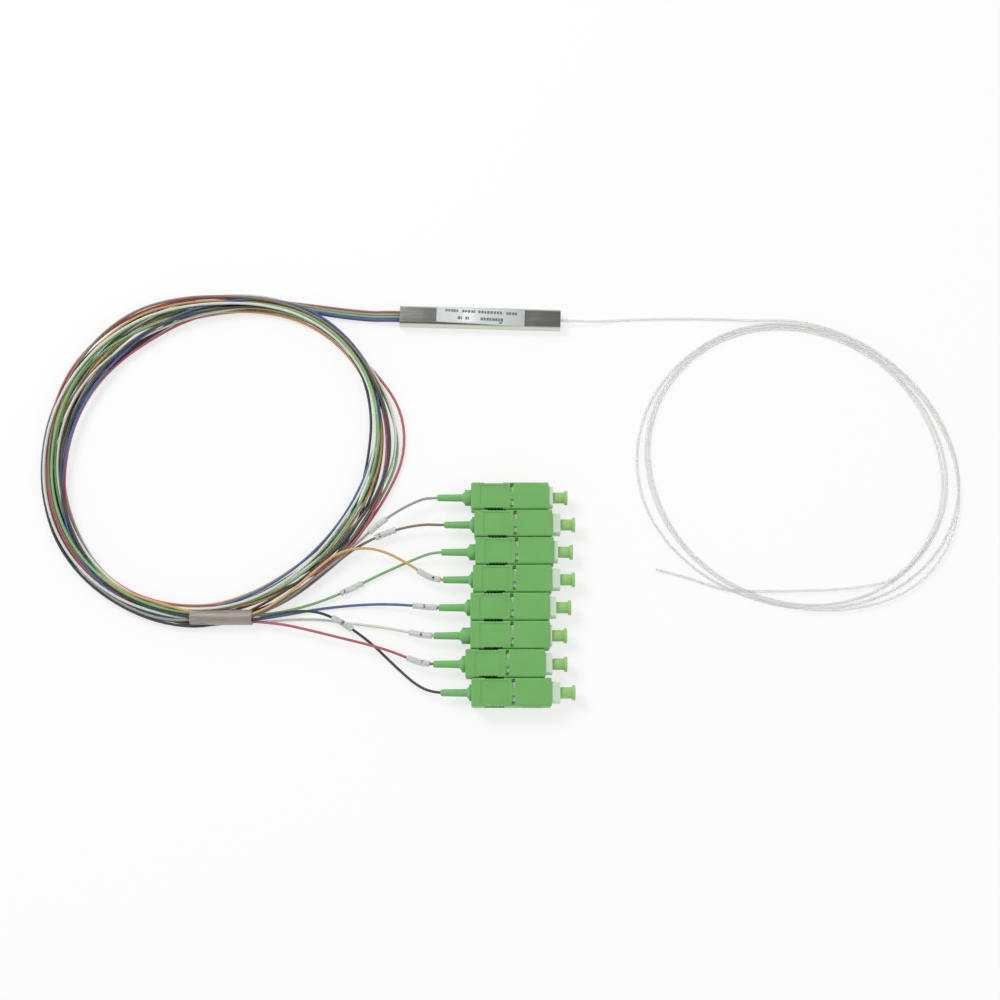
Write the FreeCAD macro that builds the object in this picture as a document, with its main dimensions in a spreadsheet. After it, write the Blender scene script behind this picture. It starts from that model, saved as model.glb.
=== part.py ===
"""A 1 x 8 fibre splitter: a steel module, a bare-ended input tail and eight output tails with
square push-pull plugs.

Millimetres, +Z up. The origin is the middle of the module's underside. +X runs along the plugs, and
nearly along the module, from its outputs to its input. All of it lies on the plane z = 0.
"""

import FreeCAD, Part
import math
import os
import re

import Sketcher
from FreeCAD import Placement, Rotation, Vector

PLUGS = 8
TOLERANCE = 0.001

# Driving dimensions, each written once. Lengths along a plug run from the front face of its white
# frame, so what lies behind that face is counted backwards.
SIZES = {
    # module
    "tube_length": 55.0,
    "tube_width": 7.0,
    "tube_height": 4.0,
    "tube_wall": 0.3,
    "tube_corner": 1.0,
    "module_lean": 1.6,
    "seal_depth": 5.0,
    "seal_recess": 0.4,
    "seal_film": 0.02,
    "chip_length": 12.0,
    "chip_width": 2.5,
    "chip_height": 2.0,
    "chip_slant": 8.0,
    "block_length": 8.0,
    "block_width": 3.0,
    "ribbon_width": 2.1,
    "ribbon_thickness": 0.3,
    "bare_fibre_diameter": 0.25,
    "label_length": 30.0,
    "label_width": 4.4,
    "label_thickness": 0.1,
    # tubing and what is threaded on it
    "tubing_diameter": 0.9,
    "lead_pitch_across": 0.93,
    "lead_pitch_up": 0.93,
    "marker_outside": 2.0,
    "marker_inside": 1.1,
    "marker_length": 8.5,
    "sleeve_outside": 5.0,
    "sleeve_inside": 3.8,
    "sleeve_length": 20.0,
    "sleeve_seat": 0.1,
    # coils
    "output_coil_radius": 54.3,
    "output_coil_height": 6.0,
    "input_coil_band": 3.6,
    "input_coil_height": 3.0,
    # plug: sliding housing
    "grip_length": 25.5,
    "grip_width": 9.0,
    "grip_height": 7.4,
    "grip_edge": 0.75,
    "grip_chamfer": 0.35,
    "grip_setback": 1.75,
    "grip_cavity_width": 6.8,
    "grip_play": 0.15,
    "hold_front": 13.8,
    "hold_length": 8.6,
    "hold_depth": 0.5,
    "hold_ramp": 1.6,
    "hold_ledge": 1.4,
    "rib_height": 0.2,
    "thumb_front": 13.7,
    "thumb_length": 8.8,
    "thumb_width": 7.0,
    "thumb_depth": 0.2,
    "slot_front": 11.6,
    "slot_length": 1.1,
    "slot_inner": 1.2,
    "slot_outer": 4.1,
    "slot_depth": 0.85,
    "window_front": 2.6,
    "window_length": 6.4,
    "window_height": 2.8,
    "key_front": 1.2,
    "key_length": 4.2,
    "key_width": 2.0,
    "key_height": 0.6,
    # plug: frame that holds the ferrule
    "frame_length": 20.0,
    "frame_height": 5.7,
    "frame_chamfer": 0.35,
    "frame_mouth_depth": 5.5,
    "frame_bore": 4.6,
    "shoulder_length": 1.5,
    "shoulder_bore": 2.9,
    "catch_front": 3.2,
    "catch_length": 3.0,
    "catch_depth": 0.5,
    "catch_height": 2.8,
    # plug: ferrule, its flange and its spring
    "ferrule_reach": 3.8,
    "ferrule_diameter": 2.5,
    "ferrule_chamfer": 0.5,
    "flange_gap": 0.05,
    "flange_length": 2.0,
    "flange_diameter": 4.2,
    "flange_tail_length": 4.0,
    "flange_tail_diameter": 2.2,
    "spring_inside": 3.0,
    "spring_outside": 4.1,
    # plug: rear body, boot and dust cap
    "nose_length": 5.0,
    "nose_fit": 0.02,
    "collar_length": 3.2,
    "collar_diameter": 5.2,
    "stem_length": 4.9,
    "stem_diameter": 3.6,
    "passage": 1.3,
    "boot_fit": 0.03,
    "boot_length": 14.9,
    "boot_ring_diameter": 5.3,
    "boot_ring_length": 5.7,
    "boot_neck_diameter": 2.5,
    "boot_tip_diameter": 2.2,
    "boot_tip_rounding": 0.3,
    "boot_floor_gap": 0.3,
    "boot_flare": 0.9,
    "boot_passage": 1.0,
    "cap_inset": 1.0,
    "cap_fit": 0.02,
    "cap_body_diameter": 3.7,
    "cap_rim_diameter": 4.9,
    "cap_rim_length": 1.0,
    "cap_reach": 4.85,
    "cap_relief": 0.15,
    # the row of plugs
    "row_start": 63.9,
    "row_pitch": 9.15,
}

# How far in front of the module's middle each plug's frame ends, and how far its housing is slid
# from its middle.
FRAME_FRONTS = (24.15, 26.55, 25.7, 26.3, 24.95, 23.5, 23.5, 25.95)
GRIP_SHIFTS = (0.4, -0.9, 0.35, -1.0, -0.45, 1.05, -0.5, -1.0)

# The band of output tubes is wider and narrower round its loop: its outside and inside as shares of
# the coil's mean radius, every thirty degrees anticlockwise from the right.
OUTPUT_COIL_CENTRE = (-87.6, -49.0)
COIL_OUTSIDE = (1.081, 1.090, 1.097, 1.064, 1.107, 1.105, 1.085, 1.092, 1.076, 1.031, 1.011, 1.024)
COIL_INSIDE = (0.917, 1.013, 1.004, 0.925, 0.877, 0.891, 0.921, 0.948, 0.967, 0.913, 0.845, 0.853)
COIL_ROUNDING = 0.25
INPUT_COIL_CENTRE = (106.6, -50.2)
INPUT_COIL_RADII = (52.2, 48.8)
SLEEVE_CENTRE = (-83.6, -103.4)

# How far cutting outlines run past the faces that they open.
PAST = "1"

doc = FreeCAD.newDocument("fibre_splitter")
sheet = doc.addObject("Spreadsheet::Sheet", "sizes")


PLACES = {f"frame_front_{number}": value for number, value in enumerate(FRAME_FRONTS, start=1)}
PLACES.update({f"grip_shift_{number}": value for number, value in enumerate(GRIP_SHIFTS, start=1)})


def fill_sheet():
    """Each driving dimension goes into a cell of its own, under its own name."""
    for row, (name, value) in enumerate({**SIZES, **PLACES}.items(), start=1):
        sheet.set(f"A{row}", str(value))
        sheet.setAlias(f"A{row}", name)
    doc.recompute()


def size(name):
    """A dimension's value, for pieces that are made from a shape."""
    return float(sheet.get(name))


def cells(expression):
    """An expression in the sheet's own names, such as 'tube_length / 2', as the document reads it."""
    return re.sub(
        r"\b[a-z]\w*",
        lambda word: f"sizes.{word[0]}" if word[0] in {**SIZES, **PLACES} else word[0],
        expression,
    )


# ---- PartDesign helpers --------------------------------------------------------------------------


def new_body(name):
    body = doc.addObject("PartDesign::Body", name)
    body.Label = name
    return body


def place(piece, along="0", across="0", up="0"):
    """Bind where the piece sits to the sheet."""
    piece.setExpression("Placement.Base.x", cells(along))
    piece.setExpression("Placement.Base.y", cells(across))
    piece.setExpression("Placement.Base.z", cells(up))


def outline(body, plane, points, offset="0"):
    """A closed polygon on one of the body's own planes. Each point is a pair of expressions."""
    sketch = body.newObject("Sketcher::SketchObject", f"{body.Name}_outline")
    support = next(item for item in body.Origin.OriginFeatures if item.Role == plane)
    sketch.AttachmentSupport = [(support, "")]
    sketch.MapMode = "FlatFace"
    sketch.setExpression(".AttachmentOffset.Base.z", cells(offset))
    add_polygon(sketch, points)
    return sketch


def add_polygon(sketch, points):
    """Lines from point to point, each corner held by its distances from the sketch's origin."""
    first = sketch.GeometryCount
    count = len(points)
    corners = [Vector(evaluate(x), evaluate(y), 0) for x, y in points]
    for index, corner in enumerate(corners):
        sketch.addGeometry(Part.LineSegment(corner, corners[(index + 1) % count]))
    for index in range(count):
        follower = first + (index + 1) % count
        sketch.addConstraint(Sketcher.Constraint("Coincident", first + index, 2, follower, 1))
    for index, (point, corner) in enumerate(zip(points, corners)):
        for kind, expression, value in zip(("DistanceX", "DistanceY"), point, (corner.x, corner.y)):
            held = sketch.addConstraint(Sketcher.Constraint(kind, -1, 1, first + index, 1, value))
            sketch.setExpression(f"Constraints[{held}]", cells(expression))


def evaluate(expression):
    """The number that an expression in the sheet's names comes to."""
    found = sheet.evalExpression(expression)
    return float(getattr(found, "Value", found))


def box_outline(low_x, low_y, high_x, high_y):
    return [(low_x, low_y), (high_x, low_y), (high_x, high_y), (low_x, high_y)]


def centred(width, height):
    """A rectangle about the sketch's origin."""
    return box_outline(f"0 - {width} / 2", f"0 - {height} / 2", f"{width} / 2", f"{height} / 2")


def pad(body, sketch, length, backwards=False, both_ways=False):
    feature = body.newObject("PartDesign::Pad", f"{body.Name}_pad")
    feature.Profile = sketch
    feature.setExpression("Length", cells(length))
    feature.Reversed = backwards
    feature.SideType = "Symmetric" if both_ways else "One side"
    return feature


def pocket(body, sketch, length, backwards=False, both_ways=False):
    """Cut the outline out, and make sure that something was cut."""
    doc.recompute()
    before = body.Shape.Volume
    feature = body.newObject("PartDesign::Pocket", f"{body.Name}_pocket")
    feature.Profile = sketch
    feature.setExpression("Length", cells(length))
    feature.Reversed = backwards
    feature.SideType = "Symmetric" if both_ways else "One side"
    doc.recompute()
    if not body.Shape.Volume < before - TOLERANCE:
        raise RuntimeError(f"{feature.Name} cuts nothing")
    return feature


def turn(body, points, cut=False):
    """Revolve an outline, whose points are (along, radius), about the piece's own axis."""
    sketch = outline(body, "XZ_Plane", points)
    kind = "Groove" if cut else "Revolution"
    feature = body.newObject(f"PartDesign::{kind}", f"{body.Name}_{kind.lower()}")
    feature.Profile = sketch
    feature.ReferenceAxis = (sketch, ["H_Axis"])
    feature.Angle = 360
    return feature


def edges_along_x(shape, half_width, half_height):
    """Names of the straight edges that run along X at the corners of a centred section."""
    names = []
    for number, edge in enumerate(shape.Edges, start=1):
        ends = [vertex.Point for vertex in edge.Vertexes]
        misses = [abs(abs(end.y) - half_width) + abs(abs(end.z) - half_height) for end in ends]
        if len(ends) == 2 and max(misses) < TOLERANCE and abs(ends[0].x - ends[1].x) > TOLERANCE:
            names.append(f"Edge{number}")
    return names


def edges_across_x(shape, along):
    """Names of the edges that lie in one cross-section."""
    return [
        f"Edge{number}"
        for number, edge in enumerate(shape.Edges, start=1)
        if abs(edge.BoundBox.XMin - along) < TOLERANCE and abs(edge.BoundBox.XMax - along) < TOLERANCE
    ]


def dress(body, kind, names, amount):
    """A fillet or chamfer on the named edges of the body as it stands."""
    base = body.Tip
    feature = body.newObject(f"PartDesign::{kind}", f"{body.Name}_{kind.lower()}")
    feature.Base = (base, names)
    feature.setExpression("Radius" if kind == "Fillet" else "Size", cells(amount))
    doc.recompute()
    return feature


def round_long_edges(body, width, height, radius):
    doc.recompute()
    names = edges_along_x(body.Tip.Shape, evaluate(width) / 2, evaluate(height) / 2)
    return dress(body, "Fillet", names, radius)


# ---- the module ----------------------------------------------------------------------------------

MODULE_TURN = "( module_lean * 1deg )"


def place_in_module(piece, along="0", across="0", up="0"):
    """Bind a piece to its place in the module, which lies a little askew of the row of plugs."""
    turned = Rotation(Vector(0, 0, 1), -size("module_lean")) * piece.Placement.Rotation
    piece.Placement = Placement(Vector(), turned)
    place(
        piece,
        f"( {along} ) * cos{MODULE_TURN} + ( {across} ) * sin{MODULE_TURN}",
        f"( {across} ) * cos{MODULE_TURN} - ( {along} ) * sin{MODULE_TURN}",
        up,
    )


def in_module(along, across, up):
    """The same place as a point, for what is threaded through it."""
    return Rotation(Vector(0, 0, 1), -size("module_lean")).multVec(Vector(along, across, up))


def make_module_tube():
    """A drawn steel tube of rounded rectangular section, open at both ends."""
    body = new_body("module_tube")
    place_in_module(body, up="tube_height / 2")
    section = outline(body, "YZ_Plane", centred("tube_width", "tube_height"))
    pad(body, section, "tube_length", both_ways=True)
    round_long_edges(body, "tube_width", "tube_height", "tube_corner")
    inner_width, inner_height = "( tube_width - 2 * tube_wall )", "( tube_height - 2 * tube_wall )"
    bore = outline(body, "YZ_Plane", centred(inner_width, inner_height))
    pocket(body, bore, "2 * tube_length", both_ways=True)
    round_long_edges(body, inner_width, inner_height, "tube_corner - tube_wall")
    return body


def make_seal(name, side):
    """Potting that fills the tube's end, a little in from its rim."""
    body = new_body(name)
    along = f"{side} * ( tube_length / 2 - seal_recess - seal_depth / 2 )"
    place_in_module(body, along, up="tube_height / 2")
    width = "( tube_width - 2 * tube_wall - 2 * seal_film )"
    height = "( tube_height - 2 * tube_wall - 2 * seal_film )"
    pad(body, outline(body, "YZ_Plane", centred(width, height)), "seal_depth", both_ways=True)
    round_long_edges(body, width, height, "tube_corner - tube_wall - seal_film")
    return body


def make_slanted(name, left, right, slants, width):
    """A glass piece whose glued ends lean by the chip's slant. slants says which of the two ends do."""
    body = new_body(name)
    place_in_module(body, up="tube_wall")
    lean = "chip_height * tan(chip_slant * 1deg)"
    top_left = f"{left} + {slants[0]} * {lean}"
    top_right = f"{right} + {slants[1]} * {lean}"
    points = [(left, "0"), (right, "0"), (top_right, "chip_height"), (top_left, "chip_height")]
    pad(body, outline(body, "XZ_Plane", points), width, both_ways=True)
    return body


def make_optics():
    """The chip between its two fibre blocks, glued end to end and bedded on the tube's floor."""
    chip_end, block_end = "chip_length / 2", "( chip_length / 2 + block_length )"
    inner_end = "( tube_length / 2 - seal_recess - seal_depth )"
    back_end, back_chip_end = f"0 - {block_end}", f"0 - {chip_end}"
    chip = make_slanted("waveguide_chip", back_chip_end, chip_end, (1, 1), "chip_width")
    output_block = make_slanted("output_fibre_block", back_end, back_chip_end, (0, 1), "block_width")
    input_block = make_slanted("input_fibre_block", chip_end, block_end, (1, 0), "block_width")

    ribbon = doc.addObject("Part::Box", "output_ribbon")
    ribbon.setExpression("Length", cells(f"{inner_end} - {block_end}"))
    ribbon.setExpression("Width", cells("ribbon_width"))
    ribbon.setExpression("Height", cells("ribbon_thickness"))
    middle_height = "tube_wall + chip_height / 2"
    under_middle = f"{middle_height} - ribbon_thickness / 2"
    place_in_module(ribbon, f"0 - {inner_end}", "0 - ribbon_width / 2", under_middle)

    fibre = doc.addObject("Part::Cylinder", "input_fibre")
    fibre.setExpression("Radius", cells("bare_fibre_diameter / 2"))
    fibre.setExpression("Height", cells(f"{inner_end} - {block_end}"))
    fibre.Placement = Placement(Vector(), Rotation(Vector(0, 1, 0), 90))
    place_in_module(fibre, block_end, "0", middle_height)
    return [chip, output_block, input_block, ribbon, fibre]


def make_label():
    """The printed label on the tube's flat top."""
    label = doc.addObject("Part::Box", "module_label")
    label.setExpression("Length", cells("label_length"))
    label.setExpression("Width", cells("label_width"))
    label.setExpression("Height", cells("label_thickness"))
    place_in_module(label, "0 - label_length / 2", "0 - label_width / 2", "tube_height")
    return label


# ---- the plugs -----------------------------------------------------------------------------------

PLUG_AXIS = "key_height + grip_height / 2"
SHOULDER_BACK = "( frame_mouth_depth + shoulder_length )"
FLANGE_BACK = "( frame_mouth_depth + shoulder_length + flange_gap + flange_length )"
NOSE_FRONT = "( frame_length - nose_length )"
COLLAR_BACK = "( frame_length + collar_length )"
CAVITY_HEIGHT = "( frame_height + 2 * grip_play )"
FRAME_WIDTH = "( grip_cavity_width - 2 * grip_play )"


def place_plug_piece(piece, number, further="0"):
    across = f"0 - row_start - {number - 1} * row_pitch"
    place(piece, f"frame_front_{number} + {further}", across, PLUG_AXIS)


def hold_points(side):
    """A finger hold in a narrow side: a ramped recess with five small ribs on its floor."""
    rim, floor = f"grip_width / 2 + {PAST}", "grip_width / 2 - hold_depth"
    ribs = 5
    points = [("0 - hold_front", rim), ("0 - hold_front - hold_ramp", floor)]
    step = f"( hold_length - 2 * hold_ramp ) / {2 * ribs}"
    for rib in range(ribs):
        along = f"0 - hold_front - hold_ramp - {2 * rib} * {step}"
        points.append((f"{along} - {step}", f"{floor} + rib_height"))
        points.append((f"{along} - 2 * {step}", floor))
    points.append(("0 - hold_front - hold_length", rim))
    return [(along, f"{side} * ( {across} )") for along, across in points]


def make_grip(number):
    """The push-pull housing: a sleeve with finger holds, slots, latch windows and a key beneath."""
    body = new_body(f"grip_{number}")
    place_plug_piece(body, number, f"grip_shift_{number} - grip_setback")
    block = outline(body, "YZ_Plane", centred("grip_width", "grip_height"))
    pad(body, block, "grip_length", backwards=True)
    round_long_edges(body, "grip_width", "grip_height", "grip_edge")
    shape = body.Tip.Shape
    ends = edges_across_x(shape, 0) + edges_across_x(shape, -evaluate("grip_length"))
    dress(body, "Chamfer", ends, "grip_chamfer")

    key_back = "0 - key_front - key_length"
    key = box_outline(key_back, "0 - key_width / 2", "0 - key_front", "key_width / 2")
    under_key = "0 - grip_height / 2 - key_height"
    pad(body, outline(body, "XY_Plane", key, under_key), "key_height + grip_edge / 2")

    cavity = outline(body, "YZ_Plane", centred("grip_cavity_width", CAVITY_HEIGHT))
    pocket(body, cavity, "2 * grip_length", both_ways=True)

    holds = outline(body, "XY_Plane", hold_points(1), "hold_ledge - grip_height / 2")
    add_polygon(holds, hold_points(-1))
    pocket(body, holds, "grip_height", backwards=True)

    thumb_back = "0 - thumb_front - thumb_length"
    thumb = box_outline(thumb_back, "0 - thumb_width / 2", "0 - thumb_front", "thumb_width / 2")
    pocket(body, outline(body, "XY_Plane", thumb, "grip_height / 2 - thumb_depth"), PAST, backwards=True)
    pocket(body, outline(body, "XY_Plane", thumb, "thumb_depth - grip_height / 2"), PAST)

    slot_back, slot_front = "0 - slot_front - slot_length", "0 - slot_front"
    upper, lower = "grip_height / 2 - slot_depth", "slot_depth - grip_height / 2"
    for floor, upwards in ((upper, True), (lower, False)):
        near = box_outline(slot_back, "slot_inner", slot_front, "slot_outer")
        slots = outline(body, "XY_Plane", near, floor)
        add_polygon(slots, box_outline(slot_back, "0 - slot_outer", slot_front, "0 - slot_inner"))
        pocket(body, slots, "2 * slot_depth", backwards=upwards)

    window_back = "0 - window_front - window_length"
    window = box_outline(window_back, "0 - window_height / 2", "0 - window_front", "window_height / 2")
    pocket(body, outline(body, "XZ_Plane", window), "2 * grip_width", both_ways=True)
    return body


def make_plug_frame(number):
    """The white inner frame, bored through, with a catch for the adaptor's hooks in each side."""
    body = new_body(f"plug_frame_{number}")
    place_plug_piece(body, number)
    section = outline(body, "YZ_Plane", centred(FRAME_WIDTH, "frame_height"))
    pad(body, section, "frame_length", backwards=True)
    doc.recompute()
    shape = body.Tip.Shape
    long_edges = edges_along_x(shape, evaluate(FRAME_WIDTH) / 2, evaluate("frame_height") / 2)
    dress(body, "Chamfer", long_edges, "frame_chamfer")

    catches = None
    for side in (1, -1):
        rim = f"{side} * ( {FRAME_WIDTH} / 2 + {PAST} )"
        floor = f"{side} * ( {FRAME_WIDTH} / 2 - catch_depth )"
        points = [
            ("0 - catch_front", rim),
            ("0 - catch_front - catch_depth", floor),
            ("0 - catch_front - catch_length", floor),
            ("0 - catch_front - catch_length", rim),
        ]
        if catches is None:
            catches = outline(body, "XY_Plane", points)
        else:
            add_polygon(catches, points)
    pocket(body, catches, "catch_height", both_ways=True)

    turn(
        body,
        [
            (PAST, "0"),
            (PAST, "frame_bore / 2"),
            ("0 - frame_mouth_depth", "frame_bore / 2"),
            ("0 - frame_mouth_depth", "shoulder_bore / 2"),
            (f"0 - {SHOULDER_BACK}", "shoulder_bore / 2"),
            (f"0 - {SHOULDER_BACK}", "frame_bore / 2"),
            (f"0 - frame_length - {PAST}", "frame_bore / 2"),
            (f"0 - frame_length - {PAST}", "0"),
        ],
        cut=True,
    )
    return body


def make_ferrule(number):
    """The ceramic ferrule in its steel flange, with the slanted end face of an angled-contact plug."""
    body = new_body(f"ferrule_{number}")
    place_plug_piece(body, number)
    flange_front = f"0 - {SHOULDER_BACK} - flange_gap"
    turn(
        body,
        [
            (f"0 - {FLANGE_BACK} - flange_tail_length", "0"),
            (f"0 - {FLANGE_BACK} - flange_tail_length", "flange_tail_diameter / 2"),
            (f"0 - {FLANGE_BACK}", "flange_tail_diameter / 2"),
            (f"0 - {FLANGE_BACK}", "flange_diameter / 2"),
            (flange_front, "flange_diameter / 2"),
            (flange_front, "ferrule_diameter / 2"),
            ("ferrule_reach - ferrule_chamfer", "ferrule_diameter / 2"),
            ("ferrule_reach", "ferrule_diameter / 2 - ferrule_chamfer"),
            ("ferrule_reach", "0"),
        ],
    )
    tip_radius = "( ferrule_diameter / 2 - ferrule_chamfer )"
    slant_length = f"2 * {tip_radius} * tan(chip_slant * 1deg)"
    slant = [
        ("ferrule_reach", f"0 - {tip_radius}"),
        (f"ferrule_reach + {PAST}", f"0 - {tip_radius}"),
        (f"ferrule_reach + {PAST}", f"{tip_radius}"),
        (f"ferrule_reach - {slant_length}", f"{tip_radius}"),
    ]
    pocket(body, outline(body, "XZ_Plane", slant), "2 * ferrule_diameter", both_ways=True)
    return body


def make_dust_cap(number):
    """A moulded cap that covers the ferrule, with a rim to pull it off by."""
    body = new_body(f"dust_cap_{number}")
    place_plug_piece(body, number)
    bore = "( ferrule_diameter / 2 + cap_fit )"
    turn(
        body,
        [
            ("0 - cap_inset", bore),
            ("0 - cap_inset", "cap_body_diameter / 2"),
            ("cap_reach - cap_rim_length", "cap_body_diameter / 2"),
            ("cap_reach - cap_rim_length", "cap_rim_diameter / 2"),
            ("cap_reach", "cap_rim_diameter / 2"),
            ("cap_reach", "0"),
            ("ferrule_reach + cap_relief", "0"),
            ("ferrule_reach + cap_relief", bore),
        ],
    )
    return body


def make_boot(number):
    """The strain relief: a ring against the rear body, a flare and a slim nose for the tubing."""
    body = new_body(f"boot_{number}")
    place_plug_piece(body, number)
    tip = f"0 - {COLLAR_BACK} - boot_length"
    ring_back = f"0 - {COLLAR_BACK} - boot_ring_length"
    socket_back = f"0 - {COLLAR_BACK} - stem_length - boot_floor_gap"
    socket = "( stem_diameter / 2 + boot_fit )"
    turn(
        body,
        [
            (tip, "boot_passage / 2"),
            (tip, "boot_tip_diameter / 2 - boot_tip_rounding"),
            (f"{tip} + boot_tip_rounding", "boot_tip_diameter / 2"),
            (f"{ring_back} - boot_flare", "boot_neck_diameter / 2"),
            (ring_back, "boot_ring_diameter / 2 - boot_flare / 2"),
            (ring_back, "boot_ring_diameter / 2"),
            (f"0 - {COLLAR_BACK}", "boot_ring_diameter / 2"),
            (f"0 - {COLLAR_BACK}", socket),
            (socket_back, socket),
            (socket_back, "boot_passage / 2"),
        ],
    )
    return body


def make_rear_body(number):
    """The piece that closes the frame: its nose backs the spring, and its stem carries the boot."""
    body = new_body(f"rear_body_{number}")
    place_plug_piece(body, number)
    nose = "( frame_bore / 2 - nose_fit )"
    stem_back = f"0 - {COLLAR_BACK} - stem_length"
    turn(
        body,
        [
            (stem_back, "passage / 2"),
            (stem_back, "stem_diameter / 2"),
            (f"0 - {COLLAR_BACK}", "stem_diameter / 2"),
            (f"0 - {COLLAR_BACK}", "collar_diameter / 2"),
            ("0 - frame_length", "collar_diameter / 2"),
            ("0 - frame_length", nose),
            (f"0 - {NOSE_FRONT}", nose),
            (f"0 - {NOSE_FRONT}", "passage / 2"),
        ],
    )
    return body


def make_spring(number):
    """The coil spring behind the ferrule's flange, as a plain sleeve of the coil's size."""
    body = new_body(f"ferrule_spring_{number}")
    place_plug_piece(body, number)
    inside, outside = "spring_inside / 2", "spring_outside / 2"
    front, back = f"0 - {FLANGE_BACK}", f"0 - {NOSE_FRONT}"
    turn(body, [(back, inside), (back, outside), (front, outside), (front, inside)])
    return body


def gather(name, pieces):
    """Like pieces that share one node, each still a solid of its own."""
    group = doc.addObject("Part::Compound", name)
    group.Label = name
    group.Links = pieces
    return group


# ---- the tubing ----------------------------------------------------------------------------------

# How far a tail runs straight before its boot and inside it, and how much of a corner's shorter run
# its arc takes.
BEFORE_BOOT = 2.2
IN_BOOT = 2.0
CORNER_SHARE = 0.45


def boot_tip(number):
    behind_frame = size("frame_length") + size("collar_length") + size("boot_length")
    return Vector(
        size(f"frame_front_{number}") - behind_frame,
        -size("row_start") - (number - 1) * size("row_pitch"),
        size("key_height") + size("grip_height") / 2,
    )


# Route of each output tail from the coil or its sleeve into its boot, and how far along it its
# marker starts.
TAIL_ROUTES = (
    ((-53.6, -90.4, 3.4), (-46.9, -85.2, 3.5), (-41.6, -80.4, 3.55), (-34.3, -73.8, 4.6),
     (-27.2, -68.5, 4.6), (-19.6, -64.5, 4.4)),
    ((-48.5, -87.0, 2.3), (-42.6, -81.6, 2.3), (-35.2, -77.4, 2.8), (-26.6, -74.1, 3.6),
     (-18.2, -72.8, 4.2)),
    ((-78.0, -102.4, 2.7), (-68.0, -102.2, 1.9), (-60.5, -100.7, 1.5), (-51.8, -98.1, 1.25),
     (-42.2, -94.0, 1.2), (-32.6, -88.9, 0.8), (-25.2, -85.6, 1.0), (-18.6, -83.2, 3.2)),
    ((-53.0, -88.0, 4.7), (-46.4, -82.4, 4.7), (-38.4, -80.6, 4.7), (-31.4, -81.8, 4.7),
     (-24.0, -85.5, 4.6), (-17.6, -89.8, 4.4)),
    ((-78.0, -102.9, 1.55), (-70.0, -103.6, 1.3), (-62.0, -102.2, 0.9), (-52.6, -100.4, 0.8),
     (-40.6, -99.1, 0.9), (-29.6, -98.9, 1.9), (-20.0, -99.8, 3.7)),
    ((-78.0, -104.1, 1.75), (-70.0, -104.7, 0.9), (-61.0, -103.8, 0.6), (-51.0, -103.8, 0.5),
     (-41.0, -105.2, 0.6), (-31.0, -106.5, 1.6), (-21.5, -108.6, 3.5)),
    ((-78.0, -104.3, 2.95), (-71.0, -104.9, 2.6), (-62.6, -105.9, 3.4), (-53.0, -108.2, 4.0),
     (-43.4, -110.6, 4.3), (-34.0, -112.9, 4.4), (-27.0, -115.1, 4.4), (-21.0, -117.6, 4.4)),
    ((-78.0, -103.2, 3.55), (-69.0, -103.2, 4.0), (-60.5, -101.6, 4.2), (-52.6, -101.6, 4.2),
     (-46.0, -104.2, 3.8), (-40.4, -107.6, 1.8), (-34.2, -112.2, 0.7), (-27.6, -118.6, 1.2),
     (-20.0, -125.5, 3.0)),
)
MARKER_STARTS = (22.4, 13.5, 30.0, 33.0, 53.0, 51.5, 50.0, 30.0)

INPUT_LEAD_ROUTE = (
    (41.0, -0.7, 0.9), (54.0, 0.2, 0.5), (68.0, 0.4, 0.5), (82.0, 0.3, 0.6), (96.0, -1.6, 1.2),
)
INPUT_TAIL_ROUTE = (
    (90.0, -97.0, 1.2), (83.0, -94.9, 0.9), (75.2, -92.4, 0.6), (66.6, -89.4, 0.5), (58.1, -87.2, 0.5),
)
# How far the tubes run straight out of the module, how much they droop there and how they close up
# after it.
STRAIGHT_LEAD = 5.0
LEAD_DROOP = 0.02
LEAD_CLOSING = 0.96
LEAD_SPREAD = ((-37.0, 0.9), (-47.0, 1.25), (-56.5, 1.7), (-65.0, 2.0))
LEAD_BEND = (1.15, 2.05, 2.95, 3.8)


def rounded_path(points):
    """Straight runs joined by tangent arcs, as edges, and each arc's radius."""
    points = [Vector(*point) for point in points]
    edges, radii, start = [], [], points[0]
    for before, corner, after in zip(points, points[1:], points[2:]):
        into, out = (corner - before), (after - corner)
        half_turn = into.getAngle(out) / 2
        trim = CORNER_SHARE * min(into.Length, out.Length)
        radius = trim / math.tan(half_turn)
        back, ahead = into.normalize() * -1, out.normalize()
        arc_start, arc_end = corner + back * trim, corner + ahead * trim
        bisector = (back + ahead).normalize()
        middle = corner + bisector * (radius / math.cos(half_turn) - radius)
        edges.append(Part.LineSegment(start, arc_start).toShape())
        edges.append(Part.Arc(arc_start, middle, arc_end).toShape())
        radii.append(radius)
        start = arc_end
    edges.append(Part.LineSegment(start, points[-1]).toShape())
    return edges, radii


def swept(edges, diameter):
    """A round bar of the given diameter along the edges, checked against its section times its length."""
    wire = Part.Wire(edges)
    first = edges[0]
    start, direction = first.valueAt(first.FirstParameter), first.tangentAt(first.FirstParameter)
    section = Part.Wire([Part.makeCircle(diameter / 2, start, direction)])
    bar = wire.makePipeShell([section], True, False)
    expected = math.pi * diameter**2 / 4 * wire.Length
    if not (bar.isValid() and bar.ShapeType == "Solid" and abs(bar.Volume / expected - 1) < 0.01):
        raise RuntimeError(f"a tube's volume is {bar.Volume:.2f} where its length gives {expected:.2f}")
    return bar


def part_of_path(edges, start, length):
    """The stretch of a path from one distance along it to another."""
    kept, passed = [], 0.0
    for edge in edges:
        low, high = max(start - passed, 0.0), min(start + length - passed, edge.Length)
        if high - low > TOLERANCE:
            first, last = edge.FirstParameter, edge.LastParameter
            per_length = (last - first) / edge.Length
            kept.append(edge.Curve.toShape(first + low * per_length, first + high * per_length))
        passed += edge.Length
    return kept


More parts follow.
